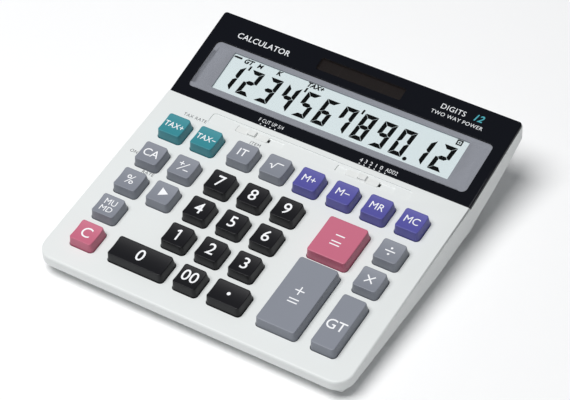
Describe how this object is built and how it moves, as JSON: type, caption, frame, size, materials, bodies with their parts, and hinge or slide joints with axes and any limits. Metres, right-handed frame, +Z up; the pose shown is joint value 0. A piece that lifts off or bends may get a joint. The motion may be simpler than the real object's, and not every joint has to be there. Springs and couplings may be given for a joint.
{
  "type": "desk calculator",
  "caption": "Desktop calculator with a tilted display panel, a solar window, sculpted keys that press in and slide switches, on a wedge-shaped case.",
  "frame": {"origin": "on the desk surface, under the middle of the case", "axes": "+X to the user's right along the key rows, +Y from the front edge to the display, +Z up"},
  "size_m": [0.191, 0.189, 0.041],
  "materials": {
    "case_white": "moulded polystyrene with a fine spark-eroded texture, pearl white",
    "case_underside": "moulded polystyrene with a coarse texture, light grey-white",
    "bezel_black": "polished black",
    "window_clear": "clear acrylic, polished",
    "mask_grey": "satin grey print on film",
    "solar_tint": "dark tinted acrylic, polished",
    "solar_film": "amorphous silicon film on glass, dark brown",
    "lead_sheath": "insulated wire, red and black",
    "lcd_glass": "liquid crystal cell, pale grey-green",
    "reflector_foil": "matt reflector",
    "holder_plastic": "moulded natural plastic",
    "contact_rubber": "layered conductive rubber",
    "circuit_board": "glass-fibre laminate with solder mask",
    "ribbon_film": "flat flexible cable",
    "chip_resin": "black potting resin over a bare chip",
    "screw_steel": "zinc-plated self-tapping screws",
    "mat_silicone": "grey silicone rubber with domes",
    "foot_rubber": "black rubber discs",
    "cell_steel": "nickel-plated can",
    "contact_steel": "nickel-plated spring strip",
    "slider_white": "moulded white, satin",
    "wiper_bronze": "phosphor bronze spring leaf",
    "key_black": "moulded satin black with white legends",
    "key_grey": "moulded satin blue-grey with white legends",
    "key_teal": "moulded satin teal with white legends",
    "key_violet": "moulded satin blue-violet with white legends",
    "key_pink": "moulded satin pink with white legends"
  },
  "bodies": {
    "case": {"top_case": "case_white", "bottom_case": "case_underside", "battery_cover": "case_underside", "display_bezel": "bezel_black", "display_window": "window_clear", "window_mask": "mask_grey", "solar_window": "solar_tint", "solar_cell": "solar_film", "solar_leads": "lead_sheath", "lcd_cell": "lcd_glass", "lcd_reflector": "reflector_foil", "lcd_holder": "holder_plastic", "zebra_strip": "contact_rubber", "display_board": "circuit_board", "main_board": "circuit_board", "ribbon_cable": "ribbon_film", "controller_chip": "chip_resin", "board_screws": "screw_steel", "case_screws": "screw_steel", "battery_cover_screw": "screw_steel", "key_mat": "mat_silicone", "rubber_feet": "foot_rubber", "button_cell": "cell_steel", "cell_contact_plus": "contact_steel", "cell_contact_minus": "contact_steel"},
    "rounding_switch": {"rounding_slider": "slider_white", "rounding_wiper": "wiper_bronze"},
    "decimal_switch": {"decimal_slider": "slider_white", "decimal_wiper": "wiper_bronze"},
    "key_7": {"key_7": "key_black"},
    "key_8": {"key_8": "key_black"},
    "key_9": {"key_9": "key_black"},
    "key_4": {"key_4": "key_black"},
    "key_5": {"key_5": "key_black"},
    "key_6": {"key_6": "key_black"},
    "key_1": {"key_1": "key_black"},
    "key_2": {"key_2": "key_black"},
    "key_3": {"key_3": "key_black"},
    "key_0": {"key_0": "key_black"},
    "key_00": {"key_00": "key_black"},
    "key_point": {"key_point": "key_black"},
    "key_item": {"key_item": "key_grey"},
    "key_root": {"key_root": "key_grey"},
    "key_all_clear": {"key_all_clear": "key_grey"},
    "key_sign": {"key_sign": "key_grey"},
    "key_divide": {"key_divide": "key_grey"},
    "key_percent": {"key_percent": "key_grey"},
    "key_backspace": {"key_backspace": "key_grey"},
    "key_multiply": {"key_multiply": "key_grey"},
    "key_markup": {"key_markup": "key_grey"},
    "key_plus_equals": {"key_plus_equals": "key_grey"},
    "key_grand_total": {"key_grand_total": "key_grey"},
    "key_tax_plus": {"key_tax_plus": "key_teal"},
    "key_tax_minus": {"key_tax_minus": "key_teal"},
    "key_memory_plus": {"key_memory_plus": "key_violet"},
    "key_memory_minus": {"key_memory_minus": "key_violet"},
    "key_memory_recall": {"key_memory_recall": "key_violet"},
    "key_memory_clear": {"key_memory_clear": "key_violet"},
    "key_clear": {"key_clear": "key_pink"},
    "key_minus_equals": {"key_minus_equals": "key_pink"}
  },
  "joints": [
    {"name": "key_7_press", "type": "slide", "parent": "case", "child": "key_7", "axis": [0, 0.1045, -0.9945], "range_m": [0, 0.002], "stiffness_N_per_m": 320, "springref_m": -0.0005, "deforming": ["key_mat"]},
    {"name": "key_8_press", "type": "slide", "parent": "case", "child": "key_8", "axis": [0, 0.1045, -0.9945], "range_m": [0, 0.002], "stiffness_N_per_m": 320, "springref_m": -0.0005, "deforming": ["key_mat"]},
    {"name": "key_9_press", "type": "slide", "parent": "case", "child": "key_9", "axis": [0, 0.1045, -0.9945], "range_m": [0, 0.002], "stiffness_N_per_m": 320, "springref_m": -0.0005, "deforming": ["key_mat"]},
    {"name": "key_4_press", "type": "slide", "parent": "case", "child": "key_4", "axis": [0, 0.1045, -0.9945], "range_m": [0, 0.002], "stiffness_N_per_m": 320, "springref_m": -0.0005, "deforming": ["key_mat"]},
    {"name": "key_5_press", "type": "slide", "parent": "case", "child": "key_5", "axis": [0, 0.1045, -0.9945], "range_m": [0, 0.002], "stiffness_N_per_m": 320, "springref_m": -0.0005, "deforming": ["key_mat"]},
    {"name": "key_6_press", "type": "slide", "parent": "case", "child": "key_6", "axis": [0, 0.1045, -0.9945], "range_m": [0, 0.002], "stiffness_N_per_m": 320, "springref_m": -0.0005, "deforming": ["key_mat"]},
    {"name": "key_1_press", "type": "slide", "parent": "case", "child": "key_1", "axis": [0, 0.1045, -0.9945], "range_m": [0, 0.002], "stiffness_N_per_m": 320, "springref_m": -0.0005, "deforming": ["key_mat"]},
    {"name": "key_2_press", "type": "slide", "parent": "case", "child": "key_2", "axis": [0, 0.1045, -0.9945], "range_m": [0, 0.002], "stiffness_N_per_m": 320, "springref_m": -0.0005, "deforming": ["key_mat"]},
    {"name": "key_3_press", "type": "slide", "parent": "case", "child": "key_3", "axis": [0, 0.1045, -0.9945], "range_m": [0, 0.002], "stiffness_N_per_m": 320, "springref_m": -0.0005, "deforming": ["key_mat"]},
    {"name": "key_0_press", "type": "slide", "parent": "case", "child": "key_0", "axis": [0, 0.1045, -0.9945], "range_m": [0, 0.002], "stiffness_N_per_m": 340, "springref_m": -0.0005, "deforming": ["key_mat"]},
    {"name": "key_00_press", "type": "slide", "parent": "case", "child": "key_00", "axis": [0, 0.1045, -0.9945], "range_m": [0, 0.002], "stiffness_N_per_m": 320, "springref_m": -0.0005, "deforming": ["key_mat"]},
    {"name": "key_point_press", "type": "slide", "parent": "case", "child": "key_point", "axis": [0, 0.1045, -0.9945], "range_m": [0, 0.002], "stiffness_N_per_m": 320, "springref_m": -0.0005, "deforming": ["key_mat"]},
    {"name": "key_item_press", "type": "slide", "parent": "case", "child": "key_item", "axis": [0, 0.1045, -0.9945], "range_m": [0, 0.002], "stiffness_N_per_m": 320, "springref_m": -0.0005, "deforming": ["key_mat"]},
    {"name": "key_root_press", "type": "slide", "parent": "case", "child": "key_root", "axis": [0, 0.1045, -0.9945], "range_m": [0, 0.002], "stiffness_N_per_m": 320, "springref_m": -0.0005, "deforming": ["key_mat"]},
    {"name": "key_all_clear_press", "type": "slide", "parent": "case", "child": "key_all_clear", "axis": [0, 0.1045, -0.9945], "range_m": [0, 0.002], "stiffness_N_per_m": 320, "springref_m": -0.0005, "deforming": ["key_mat"]},
    {"name": "key_sign_press", "type": "slide", "parent": "case", "child": "key_sign", "axis": [0, 0.1045, -0.9945], "range_m": [0, 0.002], "stiffness_N_per_m": 320, "springref_m": -0.0005, "deforming": ["key_mat"]},
    {"name": "key_divide_press", "type": "slide", "parent": "case", "child": "key_divide", "axis": [0, 0.1045, -0.9945], "range_m": [0, 0.002], "stiffness_N_per_m": 320, "springref_m": -0.0005, "deforming": ["key_mat"]},
    {"name": "key_percent_press", "type": "slide", "parent": "case", "child": "key_percent", "axis": [0, 0.1045, -0.9945], "range_m": [0, 0.002], "stiffness_N_per_m": 320, "springref_m": -0.0005, "deforming": ["key_mat"]},
    {"name": "key_backspace_press", "type": "slide", "parent": "case", "child": "key_backspace", "axis": [0, 0.1045, -0.9945], "range_m": [0, 0.002], "stiffness_N_per_m": 320, "springref_m": -0.0005, "deforming": ["key_mat"]},
    {"name": "key_multiply_press", "type": "slide", "parent": "case", "child": "key_multiply", "axis": [0, 0.1045, -0.9945], "range_m": [0, 0.002], "stiffness_N_per_m": 320, "springref_m": -0.0005, "deforming": ["key_mat"]},
    {"name": "key_markup_press", "type": "slide", "parent": "case", "child": "key_markup", "axis": [0, 0.1045, -0.9945], "range_m": [0, 0.002], "stiffness_N_per_m": 320, "springref_m": -0.0005, "deforming": ["key_mat"]},
    {"name": "key_plus_equals_press", "type": "slide", "parent": "case", "child": "key_plus_equals", "axis": [0, 0.1045, -0.9945], "range_m": [0, 0.002], "stiffness_N_per_m": 380, "springref_m": -0.0005, "deforming": ["key_mat"]},
    {"name": "key_grand_total_press", "type": "slide", "parent": "case", "child": "key_grand_total", "axis": [0, 0.1045, -0.9945], "range_m": [0, 0.002], "stiffness_N_per_m": 340, "springref_m": -0.0005, "deforming": ["key_mat"]},
    {"name": "key_tax_plus_press", "type": "slide", "parent": "case", "child": "key_tax_plus", "axis": [0, 0.1045, -0.9945], "range_m": [0, 0.002], "stiffness_N_per_m": 320, "springref_m": -0.0005, "deforming": ["key_mat"]},
    {"name": "key_tax_minus_press", "type": "slide", "parent": "case", "child": "key_tax_minus", "axis": [0, 0.1045, -0.9945], "range_m": [0, 0.002], "stiffness_N_per_m": 320, "springref_m": -0.0005, "deforming": ["key_mat"]},
    {"name": "key_memory_plus_press", "type": "slide", "parent": "case", "child": "key_memory_plus", "axis": [0, 0.1045, -0.9945], "range_m": [0, 0.002], "stiffness_N_per_m": 320, "springref_m": -0.0005, "deforming": ["key_mat"]},
    {"name": "key_memory_minus_press", "type": "slide", "parent": "case", "child": "key_memory_minus", "axis": [0, 0.1045, -0.9945], "range_m": [0, 0.002], "stiffness_N_per_m": 320, "springref_m": -0.0005, "deforming": ["key_mat"]},
    {"name": "key_memory_recall_press", "type": "slide", "parent": "case", "child": "key_memory_recall", "axis": [0, 0.1045, -0.9945], "range_m": [0, 0.002], "stiffness_N_per_m": 320, "springref_m": -0.0005, "deforming": ["key_mat"]},
    {"name": "key_memory_clear_press", "type": "slide", "parent": "case", "child": "key_memory_clear", "axis": [0, 0.1045, -0.9945], "range_m": [0, 0.002], "stiffness_N_per_m": 320, "springref_m": -0.0005, "deforming": ["key_mat"]},
    {"name": "key_clear_press", "type": "slide", "parent": "case", "child": "key_clear", "axis": [0, 0.1045, -0.9945], "range_m": [0, 0.002], "stiffness_N_per_m": 320, "springref_m": -0.0005, "deforming": ["key_mat"]},
    {"name": "key_minus_equals_press", "type": "slide", "parent": "case", "child": "key_minus_equals", "axis": [0, 0.1045, -0.9945], "range_m": [0, 0.002], "stiffness_N_per_m": 360, "springref_m": -0.0005, "deforming": ["key_mat"]},
    {"name": "rounding_switch_slide", "type": "slide", "parent": "case", "child": "rounding_switch", "axis": [1, 0, 0], "range_m": [0, 0.00945]},
    {"name": "decimal_switch_slide", "type": "slide", "parent": "case", "child": "decimal_switch", "axis": [1, 0, 0], "range_m": [-0.0063, 0.00945]}
  ]
}
